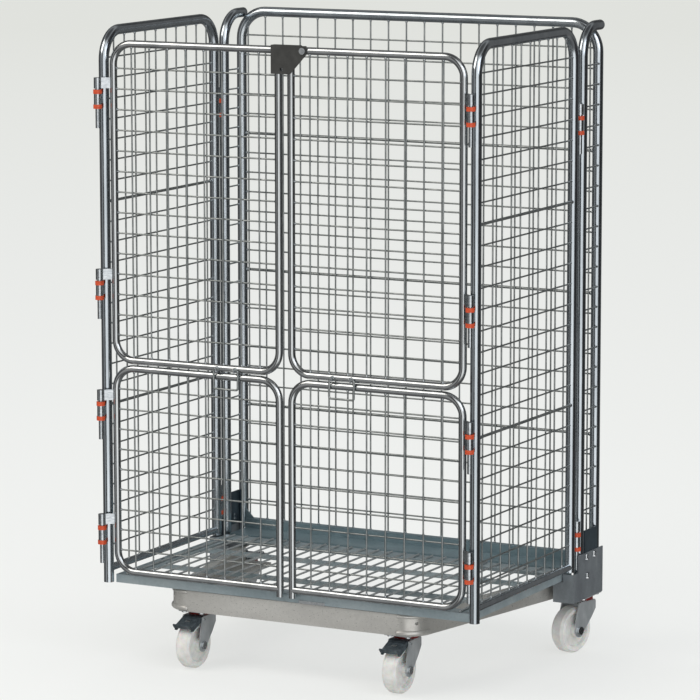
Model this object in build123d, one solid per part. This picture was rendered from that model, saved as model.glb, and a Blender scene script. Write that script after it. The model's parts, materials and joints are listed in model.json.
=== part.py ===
"""Roll cage container: fixed back and chassis, lifting deck, hinged sides, four half doors, casters.

Millimetres, +Z up, the doors face -Y. The front posts stand on the plane Y = 0 while the parts
are drawn. save() then moves every part by shift_y, so the origin ends at the base's centre.
"""

import math
import os

from build123d import *

os.makedirs("parts", exist_ok=True)

# overall layout
post_x = 500.0  # axes of all six upright tubes, either side of the middle
rear_leg_y = 536.0  # rear leg of a side panel
hook_y = 588.0  # fixed hook post
back_y = 680.0  # back frame
side_top_z = 1565.0
back_top_z = 1573.0
hook_top_z = 1569.0
hook_end_y = 689.0
side_foot_z = 210.0  # open lower end of a side panel's front leg
rear_foot_z = 231.0  # and of its rear leg
fixed_foot_z = 212.0  # lower ends of the hook posts and the back frame

# tube and wire stock
tube_r = 12.5
tube_wall = 1.5
door_tube_r = 9.0
wire_r = 2.0
rod_r = 3.5
deck_wire_r = 2.5
pitch = 50.0  # mesh pitch of the doors and sides, both ways
back_pitch = 50.5
weld_depth = 0.8  # how far a welded wire end sits in the wall of a tube

# bend radii on the centreline
side_bend_r = 70.0
door_bend_r = 50.0
back_bend_r = 70.0

# doors
door_y = -5.0
door_outer_x = 470.0
door_inner_x = 17.0
upper_door_z = (767.0, 1537.0)  # axes of the bottom and top tube
lower_door_z = (242.0, 747.0)
stile_foot_z = 222.0  # the lower doors' inner stile runs down past the bottom tube

# door hinges: one height for each, at the top of the strap
pin_y = -30.5
pin_r = 5.5
pin_length = 122.0
hinge_tops = (1455.0, 990.0, 693.0, 385.0)
strap_height = 26.0
eye_r = 9.0
running_gap = 0.05
bush_r = 10.5
bush_height = 10.0
knuckle_height = 26.0

# hinges between a side panel and its hook post
side_pin_x = 506.0
side_pin_y = 562.0
side_hinge_tops = (1385.0, 355.0)

# sheet chassis
sheet = 4.0
chassis_low_z = 154.0
chassis_high_z = 206.0
beam_front_y = 14.0
beam_half = 270.0  # straight part of the front beam
corner_r = 60.0
leg_front_x = 340.0
leg_rear_x = 455.0
leg_end_y = 600.0
lip = 24.0
leg_flange = 80.0
bead_low = (7.0, 161.0)  # radius and height of the beads pressed round the front corners
bead_high = (5.0, 201.0)

# rear corner brackets and rear floor
plate = 3.0
bracket_x = 512.5
bracket_y = (526.0, 700.0)
bracket_top_z = 269.0
notch_y = 553.0  # the bracket is cut away up to here so that the side panel's leg can swing out
notch_z = 226.0
bracket_in_x = 440.0
bracket_bolt_at = ((603.0, 259.0), (648.0, 259.0), (608.0, 211.0))
bolt_r = 4.0
floor_z = 226.0
floor_front_y = 577.5
upstand_z = 253.0

# deck
deck_half = 484.0
deck_y = (8.0, 558.0)
deck_low_z = 208.5
deck_high_z = 229.0
deck_flange = 40.0
deck_pitch = 38.0
deck_bar_y = (166.0, 384.0)
deck_pin_y = 568.0
deck_pin_z = 221.0
deck_pin_r = 4.0
deck_hinge_x = 430.0

# latch plate and bails
latch_pivot_x = 54.0
padlock_x = -3.0  # the padlock's hole is over the gap between the two stiles
padlock_z = 1492.0
padlock_r = 4.5
bail_legs = (124.0, 190.0)
bail_y = -17.5
bail_z = 766.0
bail_drop = 48.0

# casters
caster_front = (283.0, 75.0)
caster_rear = (478.0, 653.0)
wheel_r = 58.0
wheel_width = 37.0
trail = 38.0
ground_z = 10.5  # the drawing level that the wheels stand on
wheel_z = ground_z + wheel_r
caster_top_z = 154.0
parked_turn = -15.0  # the right rear caster stands turned

# the corner brackets end furthest back and the hinge bushes stand furthest forward
shift_y = -(bracket_y[1] + pin_y - bush_r) / 2


def rod(start, end, radius):
    """A round bar between two points."""
    start, end = Vector(*start), Vector(*end)
    line = end - start
    at = Plane(origin=start, z_dir=line)
    return extrude(at * Circle(radius), line.length)


def pipe(points, bend_r, radius):
    """A bent tube, open at both ends, along points."""
    if len(points) > 2:
        path = FilletPolyline(*points, radius=bend_r)
    else:
        path = Line(*points)
    section = Circle(radius) - Circle(radius - tube_wall)
    return sweep(Plane(origin=path @ 0, z_dir=path % 0) * section, path=path)


def ring(x, y, z, height, outer, inner):
    """An upright ring standing on z."""
    return Pos(x, y, z) * extrude(Circle(outer) - Circle(inner), height)


def slab(x, y, z):
    """A box from three (low, high) pairs."""
    size = [abs(high - low) for low, high in (x, y, z)]
    middle = [(low + high) / 2 for low, high in (x, y, z)]
    return Pos(*middle) * Box(*size)


def save(name, *pieces):
    """Write one part, moved into the row frame."""
    solids = []
    for piece in pieces:
        solids.extend(piece.solids())
    group = solids[0] if len(solids) == 1 else Compound(solids)
    export_step(Pos(0, shift_y, -ground_z) * group, f"parts/{name}.step")


def bolt_shanks(x, y):
    """The shanks of the four bolts that hold the caster whose swivel axis is at (x, y)."""
    centres = [(x + dx, y + dy) for dx in (-24, 24) for dy in (-38, 38)]
    low = caster_top_z - 2 * sheet
    return [Pos(*centre, low) * extrude(Circle(bolt_r), 3 * sheet) for centre in centres]


def mirrored(side, piece):
    """The piece as drawn on the right, or its mirror image on the left."""
    return piece if side > 0 else mirror(piece, about=Plane.YZ)


# chassis
def chassis_outline(inset):
    """Plan of the tapered chassis, moved in by inset, with rounded front corners."""
    slope = (leg_rear_x - leg_front_x) / (leg_end_y - beam_front_y)
    half_front = leg_front_x - inset + slope * inset
    half_rear = half_front + slope * 800
    front = beam_front_y + inset
    points = [(-half_front, front), (half_front, front), (half_rear, front + 800), (-half_rear, front + 800)]
    outline = make_face(Polyline(*points, close=True))
    corners = outline.vertices().sort_by(Axis.Y)[0:2]
    return fillet(corners, max(corner_r - inset, 4))


def chassis_ring(inset, low_z, high_z):
    """A band of the chassis plan, inset wide, between two heights."""
    band = chassis_outline(0) - chassis_outline(inset)
    return Pos(0, 0, low_z) * extrude(band, high_z - low_z)


def corner_bead(bead_r, z):
    """A rounded bead pressed out of the front corner's web, with its ends rounded off."""
    lean = math.atan2(leg_rear_x - leg_front_x, leg_end_y - beam_front_y)
    centre_y = beam_front_y + corner_r
    centre_x = leg_front_x + corner_r * math.tan(lean) - corner_r / math.cos(lean)
    bead_path = CenterArc((centre_x, centre_y, z), corner_r - 2, -90, 90 - math.degrees(lean))
    bead = sweep(Plane(origin=bead_path @ 0, z_dir=bead_path % 0) * Circle(bead_r), path=bead_path)
    return bead + [Pos(*(bead_path @ end)) * Sphere(bead_r) for end in (0, 1)]


behind = slab((-700, 700), (leg_end_y, 1000), (0, 400))
web = chassis_ring(sheet, chassis_low_z, chassis_high_z) - behind
top_lip = chassis_ring(lip, chassis_high_z - sheet, chassis_high_z) - behind
low_lip = chassis_ring(lip, chassis_low_z, chassis_low_z + sheet) - behind
wide_lip = chassis_ring(leg_flange, chassis_low_z, chassis_low_z + sheet) - behind
between = slab((-beam_half, beam_half), (0, leg_end_y + 10), (0, 400))
front_bolts = bolt_shanks(*caster_front)
front_bolts_left = [mirror(shank, about=Plane.YZ) for shank in front_bolts]
save("front_beam", ((web + top_lip + low_lip) & between) - front_bolts - front_bolts_left)

corner_plate = Pos(0, 0, chassis_low_z) * extrude(chassis_outline(0), sheet)
corner_plate &= slab((beam_half - 35, 500), (0, 150), (0, 400))
corner_plate -= slab((0, beam_half), (0, beam_front_y + lip), (0, 400))
right_leg = (web + top_lip + wide_lip) & slab((beam_half, 700), (0, 1000), (0, 400))
right_leg = right_leg + corner_plate - front_bolts
corner_beads = [corner_bead(bead_low[0], bead_low[1]), corner_bead(bead_high[0], bead_high[1])]
right_leg = right_leg + corner_beads
drain = Pos(leg_front_x - 11, beam_front_y + 18, 185) * Rot(0, 90, -40) * Cylinder(4, 60)
slot = Pos(362, 440, chassis_low_z) * extrude(Rot(0, 0, -78) * SlotOverall(60, 24), sheet)
right_leg -= drain + slot
for side, word in ((-1, "left"), (1, "right")):
    save(f"{word}_leg", mirrored(side, right_leg))

# rear corners and floor
outer_plate = slab((bracket_x, bracket_x + plate), bracket_y, (chassis_low_z, bracket_top_z))
outer_plate -= slab((bracket_x - 1, bracket_x + plate + 1), (bracket_y[0] - 1, notch_y), (notch_z, 400))
face_y = (bracket_y[0], bracket_y[0] + plate)
front_face = slab((bracket_in_x, bracket_x), face_y, (chassis_low_z, chassis_high_z))
front_face += slab((deck_half + 2.5, bracket_x), face_y, (chassis_high_z, notch_z))
bottom = slab((bracket_in_x, bracket_x), bracket_y, (chassis_low_z, chassis_low_z + sheet))
leg_room = slab((0, leg_rear_x + 5), (0, leg_end_y + 1), (0, 400))
bracket = (outer_plate + front_face + bottom) - leg_room
bracket -= bolt_shanks(*caster_rear)
for y, z in bracket_bolt_at:
    bracket -= rod((bracket_x - 10, y, z), (bracket_x + 10, y, z), bolt_r)
gusset = slab((bracket_x - plate, bracket_x), (hook_y + 8, back_y - 8), (bracket_top_z - 30, 325))
for y, z in bracket_bolt_at:
    gusset -= rod((bracket_x - 10, y, z), (bracket_x + 10, y, z), bolt_r)
for side, word in ((-1, "left"), (1, "right")):
    save(f"{word}_corner_bracket", mirrored(side, bracket))
save("gussets", *[mirrored(side, gusset) for side in (-1, 1)])

floor_back = back_y - tube_r - 0.5
floor_x = (-post_x + 15, post_x - 15)
floor_plate = slab(floor_x, (floor_front_y, floor_back), (floor_z, floor_z + plate))
floor_plate += slab(floor_x, (floor_front_y, floor_front_y + plate), (chassis_high_z, floor_z + plate))
floor_ears = []
ear_bore_r = deck_pin_r + 0.08
for x in (-deck_hinge_x, deck_hinge_x):
    for gap in (-8, 8):
        ear_x = (x + gap - 2, x + gap + 2)
        ear = slab(ear_x, (deck_pin_y - 2, floor_front_y), (deck_pin_z - 7, deck_pin_z + 7))
        ear += rod((x + gap - 2, deck_pin_y, deck_pin_z), (x + gap + 2, deck_pin_y, deck_pin_z), 7)
        ear -= rod((x + gap - 3, deck_pin_y, deck_pin_z), (x + gap + 3, deck_pin_y, deck_pin_z), ear_bore_r)
        floor_ears.append(ear)
save("rear_floor", floor_plate, *floor_ears)
upstand_x = (-post_x + 13, post_x - 13)
upstand = slab(upstand_x, (floor_back - plate, floor_back), (floor_z + plate, upstand_z))
upstand += slab(upstand_x, (floor_back - plate, floor_back + 18), (upstand_z - plate, upstand_z))
corner_web = make_face(Polyline((0, 0), (24, 0), (0, 24), close=True))
web_plane = Plane(origin=(post_x - 14, back_y - tube_r, upstand_z), x_dir=(-1, 0, 0), z_dir=(0, 1, 0))
corner_web = extrude(web_plane * corner_web, plate)
save("rear_beam", upstand, *[mirrored(side, corner_web) for side in (-1, 1)])

# fixed back
back_points = [
    (-post_x, back_y, fixed_foot_z),
    (-post_x, back_y, back_top_z),
    (post_x, back_y, back_top_z),
    (post_x, back_y, fixed_foot_z),
]
save("back_frame", pipe(back_points, back_bend_r, tube_r))

hook_points = [
    (post_x, hook_y, fixed_foot_z),
    (post_x, hook_y, hook_top_z),
    (post_x, hook_end_y, hook_top_z),
]
hook_post = pipe(hook_points, side_bend_r, tube_r)
for side, word in ((-1, "left"), (1, "right")):
    save(f"{word}_hook_post", mirrored(side, hook_post))


def wire_span(reach, tube, offset):
    """Half length of a wire that is welded to tubes with their axes at reach."""
    return reach - math.sqrt(tube**2 - offset**2) + weld_depth


back_wires = []
half = wire_span(post_x, tube_r, wire_r)
for step in range(27):
    z = 1512.0 - back_pitch * step
    thick = step in (5, 12, 19)
    if z > upstand_z:
        radius = rod_r if thick else wire_r
        back_wires.append(rod((-half, back_y + radius, z), (half, back_y + radius, z), radius))
for step in range(20):
    x = (step - 9.5) * back_pitch
    high = back_top_z - math.sqrt(tube_r**2 - wire_r**2) + weld_depth
    if abs(x) > post_x - back_bend_r:
        into = abs(x) - (post_x - back_bend_r)
        inner_r = back_bend_r - tube_r
        high = back_top_z - back_bend_r + math.sqrt(max(inner_r**2 - into**2, 0)) + 2 * weld_depth
    back_wires.append(rod((x, back_y - wire_r, upstand_z), (x, back_y - wire_r, high), wire_r))

return_wires = []
wire_x = post_x + 6
wire_ends = (hook_y - wire_span(0, tube_r, 6), back_y + wire_span(0, tube_r, 6))
for step in range(23):
    z = 1475.0 - pitch * step
    return_wires.append(rod((wire_x, wire_ends[0], z), (wire_x, wire_ends[1], z), wire_r))
save("back_mesh", *back_wires, *[mirrored(side, wire) for side in (-1, 1) for wire in return_wires])

# side panels
side_points = [
    (post_x, 0, side_foot_z),
    (post_x, 0, side_top_z),
    (post_x, rear_leg_y, side_top_z),
    (post_x, rear_leg_y, rear_foot_z),
]
side_frame = pipe(side_points, side_bend_r, tube_r)
sill = pipe([(post_x, 0, 244), (post_x, rear_leg_y, 244)], 0, door_tube_r)
for y in (0, rear_leg_y):
    sill -= rod((post_x, y, 200), (post_x, y, 300), tube_r)

side_wires = []
front_y = math.sqrt(tube_r**2 - wire_r**2) - weld_depth
for step in range(25):
    z = 1500.0 - pitch * step
    radius = rod_r if step in (7, 17) else wire_r
    x = post_x + radius
    side_wires.append(rod((x, front_y, z), (x, rear_leg_y - front_y, z), radius))
for step in range(10):
    y = 43.0 + pitch * step
    high = side_top_z - math.sqrt(tube_r**2 - wire_r**2) + weld_depth
    if y < side_bend_r:
        into = side_bend_r - y
        inner_r = side_bend_r - tube_r
        high = side_top_z - side_bend_r + math.sqrt(inner_r**2 - into**2) + 2 * weld_depth
    if y > rear_leg_y - side_bend_r:
        into = y - (rear_leg_y - side_bend_r)
        inner_r = side_bend_r - tube_r
        high = side_top_z - side_bend_r + math.sqrt(inner_r**2 - into**2) + 2 * weld_depth
    low = 244 + math.sqrt(door_tube_r**2 - wire_r**2) - weld_depth
    side_wires.append(rod((post_x - wire_r, y, low), (post_x - wire_r, y, high), wire_r))


def knuckle(x, y, top, toward):
    """Knuckle tube of one hinge and the web that joins it to a post at (post_x, toward)."""
    low = top - strap_height - 3 - bush_height - knuckle_height
    barrel = ring(x, y, low, knuckle_height, eye_r, pin_r + running_gap)
    direction = Vector(post_x - x, toward - y, 0)
    reach = direction.length - tube_r + weld_depth
    angle = math.degrees(math.atan2(direction.Y, direction.X))
    arm = Box(reach - eye_r + 2, 6, knuckle_height - 4, align=(Align.MIN, Align.CENTER, Align.MIN))
    return barrel + Pos(x, y, low + 2) * Rot(0, 0, angle) * Pos(eye_r - 2, 0, 0) * arm


def bushes(x, y, top):
    """The two plastic bushes, above and below a knuckle."""
    high = top - strap_height - 3 - bush_height
    low = high - knuckle_height - bush_height
    return [ring(x, y, z, bush_height, bush_r, pin_r + running_gap) for z in (low, high)]


def strap_pin(x, y, top, to_x, to_y, stock_r):
    """Strap welded to a tube at (to_x, to_y), with the eye and the hinge pin it carries."""
    direction = Vector(to_x - x, to_y - y, 0)
    reach = direction.length - stock_r + weld_depth
    angle = math.degrees(math.atan2(direction.Y, direction.X))
    arm = Box(reach, 5, strap_height, align=(Align.MIN, Align.CENTER, Align.MIN))
    eye = Pos(x, y, top - strap_height) * extrude(Circle(eye_r), strap_height)
    pin = Pos(x, y, top - pin_length) * extrude(Circle(pin_r), pin_length)
    return eye + pin + Pos(x, y, top - strap_height) * Rot(0, 0, angle) * arm


side_knuckles = [knuckle(post_x, pin_y, top, 0) for top in hinge_tops]
side_bushes = []
for top in hinge_tops:
    side_bushes += bushes(post_x, pin_y, top)
side_straps = [strap_pin(side_pin_x, side_pin_y, top, post_x, rear_leg_y, tube_r) for top in side_hinge_tops]
post_knuckles = [knuckle(side_pin_x, side_pin_y, top, hook_y) for top in side_hinge_tops]
post_bushes = []
for top in side_hinge_tops:
    post_bushes += bushes(side_pin_x, side_pin_y, top)
for side, word in ((-1, "left"), (1, "right")):
    save(f"{word}_side_frame", mirrored(side, side_frame), mirrored(side, sill))
    save(f"{word}_side_mesh", *[mirrored(side, wire) for wire in side_wires])
    save(f"{word}_side_hinges", *[mirrored(side, piece) for piece in side_knuckles + side_straps])
    save(f"{word}_side_bushes", *[mirrored(side, piece) for piece in side_bushes])
save("post_knuckles", *[mirrored(side, piece) for side in (-1, 1) for piece in post_knuckles])
save("post_bushes", *[mirrored(side, piece) for side in (-1, 1) for piece in post_bushes])


# doors
def door_frame(stile_end, turn_z, end_z):
    """One tube from stile_end along the inner stile, round three corners and back to the stile."""
    middle = (door_outer_x, door_y, (turn_z + end_z) / 2)
    first_half = [
        (door_inner_x, door_y, stile_end),
        (door_inner_x, door_y, turn_z),
        (door_outer_x, door_y, turn_z),
        middle,
    ]
    second_half = [middle, (door_outer_x, door_y, end_z), (door_inner_x, door_y, end_z)]
    coped = pipe(second_half, door_bend_r, door_tube_r)
    coped -= rod((door_inner_x, door_y, end_z - 50), (door_inner_x, door_y, end_z + 50), door_tube_r)
    return pipe(first_half, door_bend_r, door_tube_r) + coped


def door_mesh(low_z, high_z, rows, first_z):
    """Upright wires in front, level wires behind, in the plane of the door."""
    wires = []
    tube_edge = math.sqrt(door_tube_r**2 - wire_r**2) - weld_depth
    for step in range(rows):
        z = first_z - pitch * step
        ends = (door_inner_x + tube_edge, door_outer_x - tube_edge)
        wires.append(rod((ends[0], door_y + wire_r, z), (ends[1], door_y + wire_r, z), wire_r))
    for step in range(8):
        x = 68.5 + pitch * step
        ends = (low_z + tube_edge, high_z - tube_edge)
        wires.append(rod((x, door_y - wire_r, ends[0]), (x, door_y - wire_r, ends[1]), wire_r))
    return wires


upper_frame = door_frame(upper_door_z[1] + door_tube_r, upper_door_z[0], upper_door_z[1])
lower_frame = door_frame(stile_foot_z, lower_door_z[1], lower_door_z[0])
upper_mesh = door_mesh(upper_door_z[0], upper_door_z[1], 14, 1477.0)
lower_mesh = door_mesh(lower_door_z[0], lower_door_z[1], 9, 694.5)
upper_hinges = [strap_pin(post_x, pin_y, top, door_outer_x, door_y, door_tube_r) for top in hinge_tops[:2]]
lower_hinges = [strap_pin(post_x, pin_y, top, door_outer_x, door_y, door_tube_r) for top in hinge_tops[2:]]

# eyelets that carry the bail, welded under the front of the upper door's bottom tube
eyelets = []
for x in (bail_legs[0] + 8, bail_legs[1] - 8):
    eyelet = slab((x - 2, x + 2), (bail_y - 5, door_y), (bail_z - 6, bail_z + 6))
    eyelet -= rod((x - 3, bail_y, bail_z), (x + 3, bail_y, bail_z), deck_wire_r + 0.1)
    eyelet -= rod((0, door_y, upper_door_z[0]), (500, door_y, upper_door_z[0]), door_tube_r - weld_depth)
    eyelets.append(eyelet)
bail_points = [
    (bail_legs[0] + 14, bail_y, bail_z),
    (bail_legs[0], bail_y, bail_z),
    (bail_legs[0], bail_y, bail_z - bail_drop),
    (bail_legs[1], bail_y, bail_z - bail_drop),
    (bail_legs[1], bail_y, bail_z),
    (bail_legs[1] - 14, bail_y, bail_z),
]
bail_path = FilletPolyline(*bail_points, radius=5)
bail = sweep(Plane(origin=bail_path @ 0, z_dir=bail_path % 0) * Circle(deck_wire_r), path=bail_path)

for side, word in ((-1, "left"), (1, "right")):
    save(f"upper_{word}_door_frame", mirrored(side, upper_frame))
    save(f"upper_{word}_door_mesh", *[mirrored(side, piece) for piece in upper_mesh])
    save(f"upper_{word}_door_hinges", *[mirrored(side, piece) for piece in upper_hinges + eyelets])
    save(f"lower_{word}_door_frame", mirrored(side, lower_frame))
    save(f"lower_{word}_door_mesh", *[mirrored(side, piece) for piece in lower_mesh])
    save(f"lower_{word}_door_hinges", *[mirrored(side, piece) for piece in lower_hinges])
    save(f"{word}_bail", mirrored(side, bail))

# latch: a plate in front of both top tubes, turning on a bolt, and a hood welded to it over the tubes
skirt_y = (door_y - door_tube_r - 2.8, door_y - door_tube_r - 0.3)
fold_z = (upper_door_z[1] + door_tube_r + 0.5, upper_door_z[1] + door_tube_r + 3.0)
skirt_points = [(-31, 1481), (20, 1481), (64, 1529), (64, fold_z[1]), (-31, fold_z[1])]
skirt = make_face(Polyline(*skirt_points, close=True))
skirt = extrude(Plane(origin=(0, skirt_y[0], 0), x_dir=(1, 0, 0), z_dir=(0, -1, 0)) * skirt, -2.5)
pivot_r = bolt_r + running_gap
skirt -= rod((latch_pivot_x, -40, upper_door_z[1]), (latch_pivot_x, 0, upper_door_z[1]), pivot_r)
skirt -= rod((padlock_x, -40, padlock_z), (padlock_x, 0, padlock_z), padlock_r)
save("latch_plate", skirt)
save("latch_hood", slab((-31, 42), (skirt_y[1], door_y + 8), fold_z))
bolt_front = skirt_y[0] - 0.5
bolt_ends = [
    (latch_pivot_x, y, upper_door_z[1])
    for y in (door_y - door_tube_r + weld_depth, bolt_front, bolt_front - 3)
]
latch_bolt = rod(bolt_ends[0], bolt_ends[1], bolt_r) + rod(bolt_ends[1], bolt_ends[2], 8)
save("latch_bolt", latch_bolt)

# deck
outer = slab((-deck_half, deck_half), deck_y, (deck_low_z, deck_high_z))
inner_half = deck_half - plate
hollow = slab((-inner_half, inner_half), (deck_y[0] + plate, deck_y[1] - plate), (0, deck_high_z - plate))
wide_half = deck_half - deck_flange
window = slab((-wide_half, wide_half), (deck_y[0] + deck_flange, deck_y[1] - deck_flange), (0, 400))
deck_frame = outer - hollow - window
deck_lugs = []
for x in (-deck_hinge_x, deck_hinge_x):
    lug = slab((x - 3, x + 3), (deck_y[1] - 1, deck_pin_y), (deck_pin_z - 6.5, deck_pin_z + 6.5))
    lug += rod((x - 3, deck_pin_y, deck_pin_z), (x + 3, deck_pin_y, deck_pin_z), 6.5)
    lug += rod((x - 12, deck_pin_y, deck_pin_z), (x + 12, deck_pin_y, deck_pin_z), deck_pin_r)
    deck_frame += lug
save("deck_frame", deck_frame)

deck_bars = []
for y in deck_bar_y:
    bar = slab((-inner_half, inner_half), (y - 2.5, y + 2.5), (deck_high_z - 12, deck_high_z - plate))
    bar += slab((-wide_half, wide_half), (y - 2.5, y + 2.5), (deck_high_z - plate, deck_high_z))
    deck_bars.append(bar)
save("deck_bars", *deck_bars)
deck_wires = []
for step in range(25):
    x = (step - 12) * deck_pitch
    z = deck_high_z + deck_wire_r
    deck_wires.append(rod((x, deck_y[0] + 5, z), (x, deck_y[1] - 6, z), deck_wire_r))
save("deck_wires", *deck_wires)
deck_studs = [slab((28, 99), (deck_y[0] - 2.5, deck_y[0]), (deck_low_z, deck_low_z + 7))]
for x in (-1, 1):
    for y in (204, 345, 485):
        deck_studs.append(Pos(x * 467, y, deck_high_z) * extrude(Circle(5), 3))
save("deck_fittings", *deck_studs)


# casters
def place(part, x, y, turn):
    """A caster piece, drawn about the swivel axis, put under a corner."""
    return Pos(x, y, 0) * Rot(0, 0, turn) * part


head_z = 136.0
mount_plate = slab((-34, 34), (-50, 50), (caster_top_z - sheet, caster_top_z)) - bolt_shanks(0, 0)
kingpin = Pos(0, 0, head_z - 5.7) * extrude(Circle(8), caster_top_z - head_z + 2)
kingpin += Pos(0, 0, head_z - 7.7) * extrude(Circle(13), 7.4)
seal = ring(0, 0, head_z + 8.4, caster_top_z - sheet - head_z - 8.4, 29, 20)
plate_bolts = []
for shank in bolt_shanks(0, 0):
    centre = shank.center()
    nut = Pos(centre.X, centre.Y, caster_top_z - 2 * sheet) * extrude(RegularPolygon(7, 6), sheet)
    head = Pos(centre.X, centre.Y, caster_top_z + sheet) * extrude(Circle(6.5), 4)
    plate_bolts.append(nut + shank + head)

fork_head = Pos(0, 0, head_z) * extrude(Circle(28) - Circle(8 + running_gap), 8)
arm_points = [(-40, 139), (24, 139), (24, 117), (8, 96), (-26, 60), (-54, 70), (-54, 86), (-46, 118)]
arm_side = make_face(Polyline(*arm_points, close=True))
arm_side = fillet(arm_side.vertices(), 5) + Pos(-trail, wheel_z) * Circle(17)
fork = fork_head
bridge = Pos(0, 0, head_z) * extrude(Rectangle(57, 44) - Circle(8 + running_gap), 3)
fork += bridge
for x in (25.5, -28.5):
    fork += extrude(Plane(origin=(x, 0, 0), x_dir=(0, 1, 0), z_dir=(1, 0, 0)) * arm_side, 3)
axle = rod((-33, -trail, wheel_z), (33, -trail, wheel_z), 6)
for x in (28.5, -33.5):
    axle += rod((x, -trail, wheel_z), (x + 5, -trail, wheel_z), 10)
for x in (25.5, -28.5):
    fork -= rod((x - 1, -trail, wheel_z), (x + 4, -trail, wheel_z), 6)

bore_r = 6 + running_gap
half_width = wheel_width / 2
profile_points = [
    (bore_r, -24.5), (16, -24.5), (18, -13), (40, -11), (43, -half_width + 1), (46, -half_width),
    (53, -half_width), (wheel_r, -half_width + 7), (wheel_r, half_width - 7), (53, half_width),
    (46, half_width), (43, half_width - 1), (40, 11), (18, 13), (16, 24.5), (bore_r, 24.5),
]
wheel_profile = make_face(Polyline(*profile_points, close=True))
wheel = revolve(Plane.XY * wheel_profile, Axis.Y)
wheel = Pos(0, -trail, wheel_z) * Rot(0, 0, 90) * wheel

pedal_axis = (-33.0, 131.5)
pedal_points = [
    (-29, 135.5), (-29, 139.5), (-40, 139.5), (-89, 120.5),
    (-95, 127.5), (-97.5, 125.5), (-90, 116.5), (-41, 135.5),
]
pedal_side = make_face(Polyline(*pedal_points, close=True))
yz_plane = Plane(origin=(-24, 0, 0), x_dir=(0, 1, 0), z_dir=(1, 0, 0))
pedal = extrude(yz_plane * pedal_side, 48)
flange_points = [(-36, 137), (-88, 118), (-87, 111), (-80, 109), (-36, 127)]
flange = make_face(Polyline(*flange_points, close=True))
for x in (-24, 21):
    pedal += extrude(Plane(origin=(x, 0, 0), x_dir=(0, 1, 0), z_dir=(1, 0, 0)) * flange, 3)
    ear = rod((x, pedal_axis[0], pedal_axis[1]), (x + 3, pedal_axis[0], pedal_axis[1]), 5)
    pedal += ear
pedal -= rod((-40, pedal_axis[0], pedal_axis[1]), (40, pedal_axis[0], pedal_axis[1]), 2.55)
pedal_pin = rod((-31, pedal_axis[0], pedal_axis[1]), (31, pedal_axis[0], pedal_axis[1]), 2.5)
pedal_hole = rod((-40, pedal_axis[0], pedal_axis[1]), (40, pedal_axis[0], pedal_axis[1]), 2.5)

corners = []
for end, (x, y) in (("front", caster_front), ("rear", caster_rear)):
    for side, word in ((-1, "left"), (1, "right")):
        turn = parked_turn if (end, side) == ("rear", 1) else 0
        corners.append((f"{end}_{word}", side * x, y, turn))
plates = []
seals = []
bolts = []
for name, x, y, turn in corners:
    plates.append(place(mount_plate + kingpin, x, y, 0))
    seals.append(place(seal, x, y, 0))
    bolts += [place(bolt, x, y, 0) for bolt in plate_bolts]
    body = fork - pedal_hole if name.startswith("front") else fork
    save(f"{name}_fork", place(body, x, y, turn))
    save(f"{name}_wheel", place(wheel, x, y, turn))
    pins = [place(axle, x, y, turn)]
    if name.startswith("front"):
        save(f"{name}_pedal", place(pedal, x, y, turn))
        pins.append(place(pedal_pin, x, y, turn))
    save(f"{name}_axle", *pins)
save("caster_plates", *plates)
save("caster_seals", *seals)

bracket_bolts = []
for y, z in bracket_bolt_at:
    head = rod((bracket_x - 5, y, z), (bracket_x + plate, y, z), bolt_r)
    head += rod((bracket_x + plate, y, z), (bracket_x + plate + 5, y, z), 7)
    bracket_bolts.append(head)
save("frame_bolts", *bolts, *[mirrored(side, head) for side in (-1, 1) for head in bracket_bolts])
print("shift_y", shift_y, "files", len(os.listdir("parts")))
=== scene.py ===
import json
import math

import bmesh
import bpy
from mathutils import Matrix, Vector


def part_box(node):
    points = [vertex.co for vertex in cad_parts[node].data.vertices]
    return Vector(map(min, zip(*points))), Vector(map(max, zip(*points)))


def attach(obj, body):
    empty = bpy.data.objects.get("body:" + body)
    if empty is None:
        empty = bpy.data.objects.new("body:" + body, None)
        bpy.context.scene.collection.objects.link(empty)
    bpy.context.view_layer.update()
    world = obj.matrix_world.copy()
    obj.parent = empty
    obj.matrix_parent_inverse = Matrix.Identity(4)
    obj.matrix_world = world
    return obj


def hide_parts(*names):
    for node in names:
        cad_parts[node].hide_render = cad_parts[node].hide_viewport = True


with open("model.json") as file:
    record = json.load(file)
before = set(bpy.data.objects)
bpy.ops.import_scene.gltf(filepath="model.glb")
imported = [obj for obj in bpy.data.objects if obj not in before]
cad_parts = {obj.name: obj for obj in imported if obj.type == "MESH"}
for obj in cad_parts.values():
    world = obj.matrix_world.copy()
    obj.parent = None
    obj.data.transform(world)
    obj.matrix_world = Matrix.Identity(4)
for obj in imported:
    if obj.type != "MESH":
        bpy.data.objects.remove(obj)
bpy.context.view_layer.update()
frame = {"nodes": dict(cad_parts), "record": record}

nodes = frame["nodes"]
bodies = frame["record"]["behaviour"]["bodies"]
bodyOf = {name: body for body, names in bodies.items() for name in names}


def toLinear(hexColour):
    parts = [int(hexColour[i:i + 2], 16) / 255 for i in (1, 3, 5)]
    return [c / 12.92 if c <= 0.04045 else ((c + 0.055) / 1.055) ** 2.4 for c in parts] + [1.0]


def addNode(tree, kind, attributes=None, inputs=None, links=None):
    node = tree.nodes.new(kind)
    for name, value in (attributes or {}).items():
        setattr(node, name, value)
    for name, value in (inputs or {}).items():
        node.inputs[name].default_value = value
    for name, socket in (links or {}).items():
        tree.links.new(socket, node.inputs[name])
    return node


def setStops(ramp, stops):
    # stops run from 0 to 1, each (place, hex colour)
    elements = ramp.color_ramp.elements
    while len(elements) < len(stops):
        elements.new(0.5)
    for element, (place, colour) in zip(elements, stops):
        element.position = place
        element.color = toLinear(colour) if isinstance(colour, str) else [colour] * 3 + [1]


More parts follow.
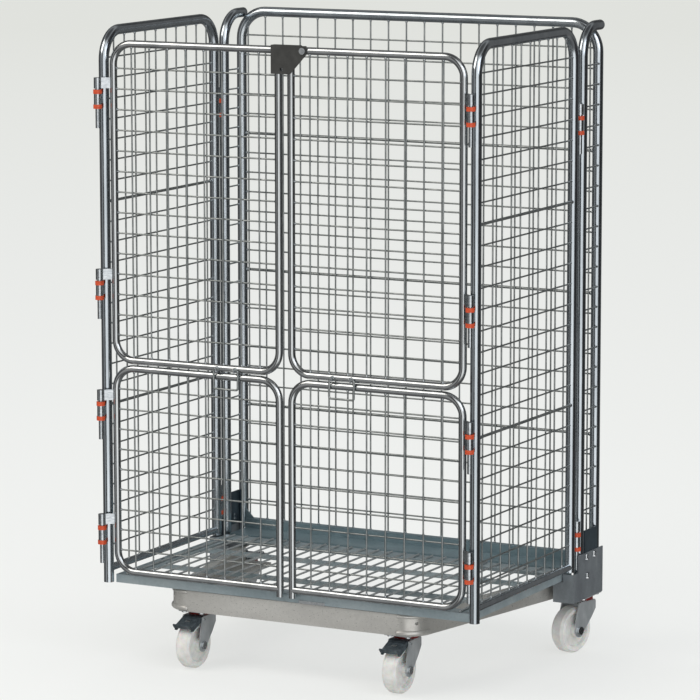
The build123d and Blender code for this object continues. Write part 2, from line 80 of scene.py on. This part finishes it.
def startMaterial(name):
    material = bpy.data.materials.new(name)
    material.use_nodes = True
    material.node_tree.nodes.clear()
    tree = material.node_tree
    output = addNode(tree, "ShaderNodeOutputMaterial")
    place = addNode(tree, "ShaderNodeTexCoord").outputs["Object"]
    return material, tree, output, place


def addGrit(tree, finish, place, detail):
    # fine grit that varies the roughness and lifts the surface by up to a quarter of its size
    grit = addNode(tree, "ShaderNodeTexNoise", inputs={
        "Scale": 1000 / finish["gritMm"], "Detail": detail}, links={"Vector": place})
    low, high = finish["roughness"]
    rough = addNode(tree, "ShaderNodeMapRange", inputs={
        "From Min": 0.3, "From Max": 0.7, "To Min": low, "To Max": high},
        links={"Value": grit.outputs["Fac"]})
    bump = addNode(tree, "ShaderNodeBump", inputs={
        "Strength": finish["bump"], "Distance": finish["gritMm"] / 4000},
        links={"Height": grit.outputs["Fac"]})
    return rough.outputs["Result"], bump.outputs["Normal"]


def makeMetal(name, finish):
    # mottled colour, mottled roughness and a fine bump, all sized in millimetres
    material, tree, output, place = startMaterial(name)
    stretched = addNode(tree, "ShaderNodeMapping", inputs={"Scale": finish["stretch"]},
                        links={"Vector": place})
    cloud = addNode(tree, "ShaderNodeTexNoise", inputs={
        "Scale": 1000 / finish["cloudMm"], "Detail": 4.0, "Roughness": 0.55},
        links={"Vector": stretched.outputs["Vector"]})
    tone = addNode(tree, "ShaderNodeValToRGB", links={"Fac": cloud.outputs["Fac"]})
    setStops(tone, [(0.3, finish["dark"]), (0.55, finish["base"]), (0.75, finish["light"])])
    colour = tone.outputs["Color"]
    if "spangleMm" in finish:
        # zinc crystals: each cell a slightly different grey
        cells = addNode(tree, "ShaderNodeTexVoronoi", inputs={"Scale": 1000 / finish["spangleMm"]},
                        links={"Vector": place})
        grey = addNode(tree, "ShaderNodeValToRGB", links={"Fac": cells.outputs["Color"]})
        setStops(grey, [(0.15, finish["spangleDark"]), (0.85, "#ffffff")])
        colour = addNode(tree, "ShaderNodeMix", attributes={"data_type": "RGBA", "blend_type": "MULTIPLY"},
                         inputs={"Factor": finish["spangleMix"]},
                         links={"A": colour, "B": grey.outputs["Color"]}).outputs["Result"]
    rough, bump = addGrit(tree, finish, stretched.outputs["Vector"], 3.0)
    shader = addNode(tree, "ShaderNodeBsdfPrincipled", inputs={"Metallic": finish["metallic"]}, links={
        "Base Color": colour, "Roughness": rough, "Normal": bump})
    tree.links.new(shader.outputs["BSDF"], output.inputs["Surface"])
    return material


def makePlastic(name, finish):
    material, tree, output, place = startMaterial(name)
    cloud = addNode(tree, "ShaderNodeTexNoise", inputs={
        "Scale": 1000 / finish["cloudMm"], "Detail": 3.0}, links={"Vector": place})
    tone = addNode(tree, "ShaderNodeValToRGB", links={"Fac": cloud.outputs["Fac"]})
    setStops(tone, [(0.3, finish["dark"]), (0.7, finish["base"])])
    rough, bump = addGrit(tree, finish, place, 2.0)
    shader = addNode(tree, "ShaderNodeBsdfPrincipled", inputs={
        "IOR": finish["ior"], "Subsurface Weight": finish.get("glow", 0.0), "Subsurface Scale": 0.004,
        "Coat Weight": finish.get("coat", 0.0)}, links={
        "Base Color": tone.outputs["Color"], "Roughness": rough, "Normal": bump})
    tree.links.new(shader.outputs["BSDF"], output.inputs["Surface"])
    return material


finishes = {}

# bright zinc plate on drawn steel tube: cool, near mirror, faint draw lines along the upright tubes
finishes["brightZincTube"] = makeMetal("brightZincTube", {
    "dark": "#a9b0b5", "base": "#bcc3c8", "light": "#ccd2d5", "metallic": 1.0, "roughness": (0.13, 0.22),
    "cloudMm": 60, "gritMm": 3, "stretch": (1, 1, 0.15), "bump": 0.04})
# the thinner door tube has the same plate, a little warmer
finishes["zincDoorTube"] = makeMetal("zincDoorTube", {
    "dark": "#aaadae", "base": "#bfc2c3", "light": "#cfd0ce", "metallic": 1.0, "roughness": (0.12, 0.2),
    "cloudMm": 45, "gritMm": 3, "stretch": (1, 1, 0.15), "bump": 0.04})
# zinc plated drawn wire: duller and darker, because it is plated after welding
finishes["platedWire"] = makeMetal("platedWire", {
    "dark": "#868b8a", "base": "#9b9f9e", "light": "#b0b3b1", "metallic": 0.9, "roughness": (0.3, 0.42),
    "cloudMm": 30, "gritMm": 1.5, "stretch": (1, 1, 1), "bump": 0.05})
# weld beads are rougher; their colour is lighter than the wire they sit on, a painted highlight, so they show
# as small bright spots
finishes["weldBeadPaintedHighlight"] = makeMetal("weldBeadPaintedHighlight", {
    "dark": "#9ca1a3", "base": "#b9bec0", "light": "#d3d6d6", "metallic": 1.0, "roughness": (0.2, 0.34),
    "cloudMm": 5, "gritMm": 1, "stretch": (1, 1, 1), "bump": 0.12})
# galvanised pressed sheet: warm grey, satin, with soft clouds and fine crystals
finishes["galvanisedSheet"] = makeMetal("galvanisedSheet", {
    "dark": "#b9b7b2", "base": "#c6c4bf", "light": "#d2d0cb", "metallic": 0.5, "roughness": (0.26, 0.4),
    "cloudMm": 90, "gritMm": 2, "stretch": (0.35, 0.35, 1), "bump": 0.06,
    "spangleMm": 7, "spangleDark": "#d8d8d8", "spangleMix": 0.2})
# the deck's angle steel is the same zinc with a blue passivation
finishes["bluePassivatedSteel"] = makeMetal("bluePassivatedSteel", {
    "dark": "#95a3a8", "base": "#a6b2b6", "light": "#b6c0c2", "metallic": 0.5, "roughness": (0.28, 0.42),
    "cloudMm": 70, "gritMm": 2, "stretch": (0.3, 1, 1), "bump": 0.06,
    "spangleMm": 6, "spangleDark": "#c4c8ca", "spangleMix": 0.22})
# thicker laser cut plate of the rear corners: darker, more even
finishes["darkZincPlate"] = makeMetal("darkZincPlate", {
    "dark": "#70757a", "base": "#80868a", "light": "#92979a", "metallic": 0.5, "roughness": (0.34, 0.48),
    "cloudMm": 50, "gritMm": 1.5, "stretch": (1, 1, 0.5), "bump": 0.06,
    "spangleMm": 5, "spangleDark": "#cdcdcd", "spangleMix": 0.18})
# rear floor and rear beam: deep blue grey
finishes["blueGreyPlate"] = makeMetal("blueGreyPlate", {
    "dark": "#768a91", "base": "#8b9ea4", "light": "#9eafb3", "metallic": 0.5, "roughness": (0.3, 0.45),
    "cloudMm": 60, "gritMm": 2, "stretch": (0.4, 1, 1), "bump": 0.06,
    "spangleMm": 6, "spangleDark": "#c8c8c8", "spangleMix": 0.2})
# rear gussets: the same blue grey passivation on thick plate, painted nearly black as painted shade where
# they sit in the shade of the rear corners
finishes["shadedBlueGreyPlate"] = makeMetal("shadedBlueGreyPlate", {
    "dark": "#323e45", "base": "#414e56", "light": "#53616a", "metallic": 0.6, "roughness": (0.28, 0.42),
    "cloudMm": 50, "gritMm": 2, "stretch": (1, 1, 0.5), "bump": 0.06})
# deck wires: plated rod like the side mesh, painted lighter than it as painted light, since the deck faces up
# to the lights
finishes["deckWirePaintedLight"] = makeMetal("deckWirePaintedLight", {
    "dark": "#a3a8a8", "base": "#b8bcbc", "light": "#cbcecd", "metallic": 0.6, "roughness": (0.24, 0.36),
    "cloudMm": 30, "gritMm": 1.5, "stretch": (1, 1, 1), "bump": 0.05})
# bright zinc hinge parts, turned and pressed
finishes["turnedZinc"] = makeMetal("turnedZinc", {
    "dark": "#a8adb0", "base": "#bec3c6", "light": "#d4d7d8", "metallic": 1.0, "roughness": (0.18, 0.28),
    "cloudMm": 12, "gritMm": 1.2, "stretch": (1, 1, 3), "bump": 0.06})
# bright zinc fasteners
finishes["zincFastener"] = makeMetal("zincFastener", {
    "dark": "#b4b9bc", "base": "#cdd1d3", "light": "#e2e4e4", "metallic": 1.0, "roughness": (0.16, 0.28),
    "cloudMm": 6, "gritMm": 0.8, "stretch": (1, 1, 1), "bump": 0.08})
# caster forks: pressed and zinc plated, pale and satin
finishes["satinZincFork"] = makeMetal("satinZincFork", {
    "dark": "#a2a7a9", "base": "#b6babc", "light": "#c8cccd", "metallic": 0.55, "roughness": (0.28, 0.4),
    "cloudMm": 25, "gritMm": 1.5, "stretch": (1, 1, 0.5), "bump": 0.06})
# brake pedals: dark coated steel
finishes["darkCoatedPedal"] = makeMetal("darkCoatedPedal", {
    "dark": "#3c444a", "base": "#4c565c", "light": "#616b71", "metallic": 0.5, "roughness": (0.3, 0.42),
    "cloudMm": 10, "gritMm": 1, "stretch": (1, 1, 1), "bump": 0.1})
# latch plate: charcoal powder coat over steel, with its fine orange peel
finishes["charcoalPowderCoat"] = makePlastic("charcoalPowderCoat", {
    "dark": "#2e2e2c", "base": "#393937", "ior": 1.5, "roughness": (0.42, 0.55),
    "cloudMm": 20, "gritMm": 0.9, "bump": 0.25})
# orange nylon bushes
finishes["orangeNylon"] = makePlastic("orangeNylon", {
    "dark": "#b3401b", "base": "#cd4d24", "ior": 1.53, "roughness": (0.32, 0.45),
    "cloudMm": 8, "gritMm": 0.8, "bump": 0.08, "glow": 0.1})
# red swivel seals
finishes["redSeal"] = makePlastic("redSeal", {
    "dark": "#5e1512", "base": "#7f1d19", "ior": 1.52, "roughness": (0.3, 0.42),
    "cloudMm": 10, "gritMm": 1, "bump": 0.06})
# white cast polyamide wheels: slightly translucent, faint scuffing on the tread
finishes["whitePolyamide"] = makePlastic("whitePolyamide", {
    "dark": "#c9c8c4", "base": "#dddcd8", "ior": 1.53, "roughness": (0.36, 0.5),
    "cloudMm": 18, "gritMm": 1.5, "bump": 0.06, "glow": 0.25})
print("stage: materials made")


def finishOf(name):
    if "bushes" in name:
        return "orangeNylon"
    if name in ("latch_plate", "latch_hood"):
        return "charcoalPowderCoat"
    if name == "caster_seals":
        return "redSeal"
    if name.endswith("_wheel"):
        return "whitePolyamide"
    if name.endswith("_pedal"):
        return "darkCoatedPedal"
    if name.endswith("_fork") or name == "caster_plates":
        return "satinZincFork"
    if name.endswith("_axle") or name in ("frame_bolts", "latch_bolt", "deck_fittings"):
        return "zincFastener"
    if name in ("front_beam", "left_leg", "right_leg"):
        return "galvanisedSheet"
    if name in ("left_corner_bracket", "right_corner_bracket"):
        return "darkZincPlate"
    # gussets get the blue grey plate darkened nearly black: painted shade
    if name == "gussets":
        return "shadedBlueGreyPlate"
    if name in ("rear_floor", "rear_beam"):
        return "blueGreyPlate"
    # deck wires get a lighter copy of the plated wire: painted light from above
    if name == "deck_wires":
        return "deckWirePaintedLight"
    if name in ("deck_frame", "deck_bars"):
        return "bluePassivatedSteel"
    if "mesh" in name or name.endswith("_bail"):
        return "platedWire"
    if "hinges" in name or "knuckles" in name:
        return "turnedZinc"
    if "door_frame" in name:
        return "zincDoorTube"
    return "brightZincTube"


for name, node in nodes.items():
    for materialSlot in node.material_slots:
        materialSlot.material = finishes[finishOf(name)]
print("stage: materials on the nodes")


mergeDistance = 0.00002


def looseBoxes(name):
    # the box of every separate solid in a node, from a merged copy of its mesh
    work = bmesh.new()
    work.from_mesh(nodes[name].data)
    bmesh.ops.remove_doubles(work, verts=work.verts, dist=mergeDistance)
    seen = set()
    boxes = []
    for start in work.verts:
        if start in seen:
            continue
        group = [start]
        seen.add(start)
        for vert in group:
            for edge in vert.link_edges:
                other = edge.other_vert(vert)
                if other not in seen:
                    seen.add(other)
                    group.append(other)
        low = Vector([min(v.co[i] for v in group) for i in range(3)])
        high = Vector([max(v.co[i] for v in group) for i in range(3)])
        boxes.append((low, high))
    work.free()
    return boxes


def finishPiece(work, name, body, material, smooth=True):
    mesh = bpy.data.meshes.new(name)
    work.to_mesh(mesh)
    work.free()
    mesh.polygons.foreach_set("use_smooth", [smooth] * len(mesh.polygons))
    mesh.materials.append(finishes[material])
    piece = bpy.data.objects.new(name, mesh)
    bpy.context.scene.collection.objects.link(piece)
    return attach(piece, body)


def addBead(work, centre, radii, fineness):
    made = bmesh.ops.create_icosphere(work, subdivisions=fineness, radius=1.0)
    bmesh.ops.scale(work, vec=radii, verts=made["verts"])
    bmesh.ops.translate(work, vec=centre, verts=made["verts"])


# weld beads where the wires meet the tubes, and smaller ones where wires cross
wireWelds = {
    "meshes": ["back_mesh", "left_side_mesh", "right_side_mesh", "upper_left_door_mesh",
               "upper_right_door_mesh", "lower_left_door_mesh", "lower_right_door_mesh"],
    "beadGrowth": 1.55,      # bead radius over wire radius
    "beadLength": 1.9,       # bead half length over wire radius
    "endInset": 0.8,         # bead centre in from the wire's end, over wire radius
    "crossRadius": 0.0021,
    "crossGap": 0.009,       # wires further apart than this don't touch
}
for name in wireWelds["meshes"]:
    work = bmesh.new()
    wires = []
    for low, high in looseBoxes(name):
        size = high - low
        along = max(range(3), key=lambda i: size[i])
        across = (along + 1) % 3
        radius = size[across] / 2
        centre = (low + high) / 2
        wires.append((along, centre, low, high))
        radii = Vector([radius * wireWelds["beadGrowth"]] * 3)
        radii[along] = radius * wireWelds["beadLength"]
        for end, inward in ((low, 1), (high, -1)):
            spot = centre.copy()
            spot[along] = end[along] + inward * radius * wireWelds["endInset"]
            addBead(work, spot, radii, 2)
    uprights = [w for w in wires if w[0] == 2]
    levels = [w for w in wires if w[0] != 2]
    for along, centre, low, high in levels:
        for _, upCentre, upLow, upHigh in uprights:
            if not (low[along] < upCentre[along] < high[along] and upLow.z < centre.z < upHigh.z):
                continue
            across = 1 - along
            if abs(upCentre[across] - centre[across]) > wireWelds["crossGap"]:
                continue
            spot = Vector((0, 0, centre.z))
            spot[along] = upCentre[along]
            spot[across] = (upCentre[across] + centre[across]) / 2
            addBead(work, spot, Vector([wireWelds["crossRadius"]] * 3), 1)
    # the beads take the lighter bead colour: a painted highlight
    finishPiece(work, name + "_welds", bodyOf[name], "weldBeadPaintedHighlight")
print("stage: wire welds made")


# hex nuts, round heads, washers and thread ends in place of the plain bolts
frameBolts = {"nutWidth": 0.013, "casterNutHeight": 0.0036, "bracketNutHeight": 0.0032, "bevel": 0.0005,
              "headRadius": 0.0065, "headHeight": 0.004, "washerRadius": 0.0082, "washerHeight": 0.0012,
              "threadRadius": 0.004, "threadInset": 0.001, "threadStandout": 0.005}


def addDisc(work, radius, low, high, turn, place, corners, bevelled):
    made = bmesh.ops.create_cone(work, cap_ends=True, segments=corners, radius1=radius, radius2=radius,
                                 depth=high - low)
    verts = made["verts"]
    bmesh.ops.translate(work, vec=(0, 0, (low + high) / 2), verts=verts)
    edges = list({e for v in verts for e in v.link_edges})
    if bevelled:
        made = bmesh.ops.bevel(work, geom=edges, affect="EDGES", offset=frameBolts["bevel"], segments=1,
                               profile=0.5, material=-1)
        verts = list({v for f in made["faces"] for v in f.verts} | {v for v in verts if v.is_valid})
    bmesh.ops.transform(work, matrix=Matrix.Translation(place) @ turn, verts=verts)


work = bmesh.new()
hexRadius = frameBolts["nutWidth"] / 2 / math.cos(math.radians(30))
for low, high in looseBoxes("frame_bolts"):
    centre = (low + high) / 2
    size = high - low
    if size.z > size.x:
        # caster bolts: nut at the foot, round head on top
        turn = Matrix.Identity(4)
        foot = (centre.x, centre.y, low.z)
        head = (centre.x, centre.y, high.z - frameBolts["headHeight"])
        inset = frameBolts["threadInset"]
        addDisc(work, hexRadius, 0, frameBolts["casterNutHeight"], turn, foot, 6, True)
        addDisc(work, frameBolts["headRadius"], 0, frameBolts["headHeight"], turn, head, 24, True)
        addDisc(work, frameBolts["threadRadius"], inset, size.z - inset, turn, foot, 16, False)
    else:
        side = 1 if centre.x > 0 else -1
        outer = high.x if side > 0 else low.x
        inner = low.x if side > 0 else high.x
        turn = Matrix.Rotation(math.radians(90 * side), 4, "Y")
        face = outer - side * frameBolts["threadStandout"]
        place = (face, centre.y, centre.z)
        washer = frameBolts["washerHeight"]
        nutTop = washer + frameBolts["bracketNutHeight"]
        start = inner * side - face * side
        addDisc(work, frameBolts["washerRadius"], 0, washer, turn, place, 24, False)
        addDisc(work, hexRadius, washer, nutTop, turn, place, 6, True)
        addDisc(work, frameBolts["threadRadius"], start, frameBolts["threadStandout"], turn, place, 16, False)
boltPiece = finishPiece(work, "hex_bolts", "chassis", "zincFastener", smooth=False)
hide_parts("frame_bolts")
print("stage: bolts made")


# the visible skirt of each swivel seal, round the top of the fork's head
sealSkirt = {"radius": 0.0302, "taper": 0.001, "height": 0.0085, "drop": 0.0042}
work = bmesh.new()
for low, high in looseBoxes("caster_seals"):
    centre = (low + high) / 2
    made = bmesh.ops.create_cone(work, cap_ends=True, segments=48, radius1=sealSkirt["radius"],
                                 radius2=sealSkirt["radius"] - sealSkirt["taper"], depth=sealSkirt["height"])
    middleZ = low.z - sealSkirt["drop"] + sealSkirt["height"] / 2
    bmesh.ops.translate(work, vec=(centre.x, centre.y, middleZ), verts=made["verts"])
finishPiece(work, "seal_skirts", "chassis", "redSeal")
print("stage: seals made")


# ribbed tread and stamped window on each brake pedal
pedalTread = {"ribs": 5, "ribLength": 0.04, "middleRibLength": 0.012, "ribWidth": 0.0022,
              "ribHeight": 0.0011, "ribBevel": 0.0004, "firstRib": 0.12, "ribSpread": 0.76,
              "backInset": 0.012, "frontInset": 0.0085, "frontDrop": 0.019,
              "stampSize": (0.014, 0.007, 0.0012)}
for side in ("left", "right"):
    low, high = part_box(f"front_{side}_pedal")
    middle = (low.x + high.x) / 2
    topBack = Vector((middle, high.y - pedalTread["backInset"], high.z))
    topFront = Vector((middle, low.y + pedalTread["frontInset"], high.z - pedalTread["frontDrop"]))
    lean = Matrix.Rotation(math.atan2(topBack.z - topFront.z, topBack.y - topFront.y), 4, "X")
    work = bmesh.new()
    for index in range(pedalTread["ribs"]):
        share = pedalTread["firstRib"] + pedalTread["ribSpread"] * index / (pedalTread["ribs"] - 1)
        spot = topBack.lerp(topFront, share)
        isMiddle = index == pedalTread["ribs"] // 2
        length = pedalTread["middleRibLength"] if isMiddle else pedalTread["ribLength"]
        made = bmesh.ops.create_cube(work, size=1.0)
        ribSize = (length, pedalTread["ribWidth"], pedalTread["ribHeight"])
        bmesh.ops.scale(work, vec=ribSize, verts=made["verts"])
        bevelEdges = list({e for v in made["verts"] for e in v.link_edges})
        bevelled = bmesh.ops.bevel(work, geom=bevelEdges, affect="EDGES", segments=2,
                                   offset=pedalTread["ribBevel"], profile=0.5, material=-1)
        verts = list({v for f in bevelled["faces"] for v in f.verts})
        bmesh.ops.transform(work, matrix=Matrix.Translation(spot) @ lean, verts=verts)
    brake = bodyOf[f"front_{side}_pedal"]
    finishPiece(work, f"front_{side}_pedal_ribs", brake, "darkCoatedPedal")
    work = bmesh.new()
    made = bmesh.ops.create_cube(work, size=1.0)
    bmesh.ops.scale(work, vec=pedalTread["stampSize"], verts=made["verts"])
    stampPlace = Matrix.Translation(topBack.lerp(topFront, 0.5)) @ lean
    bmesh.ops.transform(work, matrix=stampPlace, verts=made["verts"])
    finishPiece(work, f"front_{side}_pedal_stamp", brake, "zincFastener", False)
print("stage: pedals made")


# pale floor, far wider than any view of the cage; polished metal doesn't reflect it. It is painted a little
# lighter near the cage, a painted pool of light, and glows as painted light that keeps it bright and its
# shadows faint
studioFloor = {"size": 160.0, "near": "#eff0ee", "far": "#e4e5e0", "glow": 0.62}
work = bmesh.new()
bmesh.ops.create_grid(work, x_segments=1, y_segments=1, size=studioFloor["size"] / 2)
floorMesh = bpy.data.meshes.new("studioFloor")
work.to_mesh(floorMesh)
work.free()
floor = bpy.data.objects.new("studioFloor", floorMesh)
bpy.context.scene.collection.objects.link(floor)
floorMaterial, floorTree, floorOutput, floorPlace = startMaterial("floorPaintedGlow")
distance = addNode(floorTree, "ShaderNodeVectorMath", attributes={"operation": "LENGTH"})
floorTree.links.new(floorPlace, distance.inputs[0])
# painted pool of light: the floor's colour runs from the paler near tone 1 m from the middle to the far tone
# 22 m out
paintedFalloffRange = addNode(floorTree, "ShaderNodeMapRange", inputs={"From Min": 1.0, "From Max": 22.0},
                 links={"Value": distance.outputs["Value"]})
floorPaintedFalloff = addNode(floorTree, "ShaderNodeValToRGB", links={"Fac": paintedFalloffRange.outputs["Result"]})
setStops(floorPaintedFalloff, [(0.0, studioFloor["near"]), (1.0, studioFloor["far"])])
matte = addNode(floorTree, "ShaderNodeBsdfDiffuse", links={"Color": floorPaintedFalloff.outputs["Color"]})
# painted glow: emission mixed into the matte by the glow share, so the floor stays bright and its shadows
# faint
paintedFloorGlow = addNode(floorTree, "ShaderNodeEmission", inputs={"Strength": 1.0},
                    links={"Color": floorPaintedFalloff.outputs["Color"]})
floorShader = addNode(floorTree, "ShaderNodeMixShader", inputs={"Fac": studioFloor["glow"]})
floorTree.links.new(matte.outputs["BSDF"], floorShader.inputs[1])
floorTree.links.new(paintedFloorGlow.outputs["Emission"], floorShader.inputs[2])
floorTree.links.new(floorShader.outputs["Shader"], floorOutput.inputs["Surface"])
floorMesh.materials.append(floorMaterial)
floor.visible_glossy = False

# the studio that the polished tubes mirror: a dark room with tall strip lights all round; everything
# that isn't a mirror reflection sees an even pale sky instead
room = {
    # each stop is (degrees round from +X, brightness)
    "aroundDegrees": [(-180, 0.22), (-160, 0.04), (-138, 0.1), (-130, 0.4), (-112, 0.4),
                      (-102, 0.05), (-86, 0.05), (-76, 1.3), (-34, 1.4), (-22, 0.3), (-12, 0.04),
                      (40, 0.03), (52, 0.14), (72, 0.16), (84, 0.04), (106, 0.1), (132, 0.16),
                      (150, 0.04), (168, 0.06), (180, 0.22)],
    "riseStops": [(0.0, 0.12), (0.14, 0.2), (0.24, 0.3), (0.9, 0.5), (0.95, 0.12), (1.0, 0.08)],
    "stripStops": [(0.14, 0.0), (0.26, 1.0), (0.84, 1.0), (0.93, 0.0)],
    "skyGlow": 1.0,
    "skyColour": "#f4f6f7",
}
world = bpy.data.worlds.new("studioRoom")
world.use_nodes = True
bpy.context.scene.world = world
tree = world.node_tree
tree.nodes.clear()
worldOutput = addNode(tree, "ShaderNodeOutputWorld")
direction = addNode(tree, "ShaderNodeTexCoord").outputs["Generated"]
parts = addNode(tree, "ShaderNodeSeparateXYZ", links={"Vector": direction})
turn = addNode(tree, "ShaderNodeMath", attributes={"operation": "ARCTAN2"})
tree.links.new(parts.outputs["Y"], turn.inputs[0])
tree.links.new(parts.outputs["X"], turn.inputs[1])
around = addNode(tree, "ShaderNodeMapRange", inputs={"From Min": -math.pi, "From Max": math.pi},
                 links={"Value": turn.outputs["Value"]})
strips = addNode(tree, "ShaderNodeValToRGB", links={"Fac": around.outputs["Result"]})
setStops(strips, [((angle + 180) / 360, level) for angle, level in room["aroundDegrees"]])
rise = addNode(tree, "ShaderNodeMapRange", inputs={"From Min": -1.0, "From Max": 1.0},
               links={"Value": parts.outputs["Z"]})
# height is the sine of the elevation, so 0.5 is the horizon
overhead = addNode(tree, "ShaderNodeValToRGB", links={"Fac": rise.outputs["Result"]})
setStops(overhead, room["riseStops"])
useStrips = addNode(tree, "ShaderNodeValToRGB", links={"Fac": rise.outputs["Result"]})
setStops(useStrips, room["stripStops"])
mirrored = addNode(tree, "ShaderNodeMix", attributes={"data_type": "RGBA"}, links={
    "Factor": useStrips.outputs["Color"], "A": overhead.outputs["Color"], "B": strips.outputs["Color"]})
roomLight = addNode(tree, "ShaderNodeBackground", inputs={"Strength": 1.0},
                    links={"Color": mirrored.outputs["Result"]})
paleLight = addNode(tree, "ShaderNodeBackground",
                    inputs={"Color": toLinear(room["skyColour"]), "Strength": room["skyGlow"]})
path = addNode(tree, "ShaderNodeLightPath")
chosen = addNode(tree, "ShaderNodeMixShader", links={"Fac": path.outputs["Is Glossy Ray"]})
tree.links.new(paleLight.outputs["Background"], chosen.inputs[1])
tree.links.new(roomLight.outputs["Background"], chosen.inputs[2])
tree.links.new(chosen.outputs["Shader"], worldOutput.inputs["Surface"])

softLights = {
    "key": {"place": (-2.6, -3.4, 4.2), "size": 3.0, "power": 90, "colour": "#fffaf2"},
    "fill": {"place": (3.8, -2.0, 3.0), "size": 2.5, "power": 40, "colour": "#f0f5ff"},
}
for name, light in softLights.items():
    lamp = bpy.data.lights.new(name, "AREA")
    lamp.shape = "SQUARE"
    lamp.size = light["size"]
    lamp.energy = light["power"]
    lamp.color = toLinear(light["colour"])[:3]
    holder = bpy.data.objects.new(name, lamp)
    holder.location = light["place"]
    aim = Vector((0, 0, 0.6)) - holder.location
    holder.rotation_euler = aim.to_track_quat("-Z", "Y").to_euler()
    bpy.context.scene.collection.objects.link(holder)
bpy.context.scene.view_settings.view_transform = "Standard"

camera = {"place": (4.40749, -8.38866, 2.23616), "target": (-0.04014, -0.0295, 0.76593),
          "lens": 200.85, "sensorWidth": 36, "rollDegrees": -0.08, "shift": (0.0274, 0.0012),
          "furthest": 300}
cameraData = bpy.data.cameras.new("camera")
cameraData.lens = camera["lens"]
cameraData.sensor_width = camera["sensorWidth"]
cameraData.shift_x, cameraData.shift_y = camera["shift"]
cameraData.clip_end = camera["furthest"]
cameraObject = bpy.data.objects.new("camera", cameraData)
cameraObject.location = camera["place"]
sight = Vector(camera["target"]) - cameraObject.location
turned = sight.to_track_quat("-Z", "Y").to_matrix().to_4x4()
turned = turned @ Matrix.Rotation(math.radians(camera["rollDegrees"]), 4, "Z")
cameraObject.rotation_euler = turned.to_euler()
bpy.context.scene.collection.objects.link(cameraObject)
bpy.context.scene.camera = cameraObject
print("stage: studio ready")
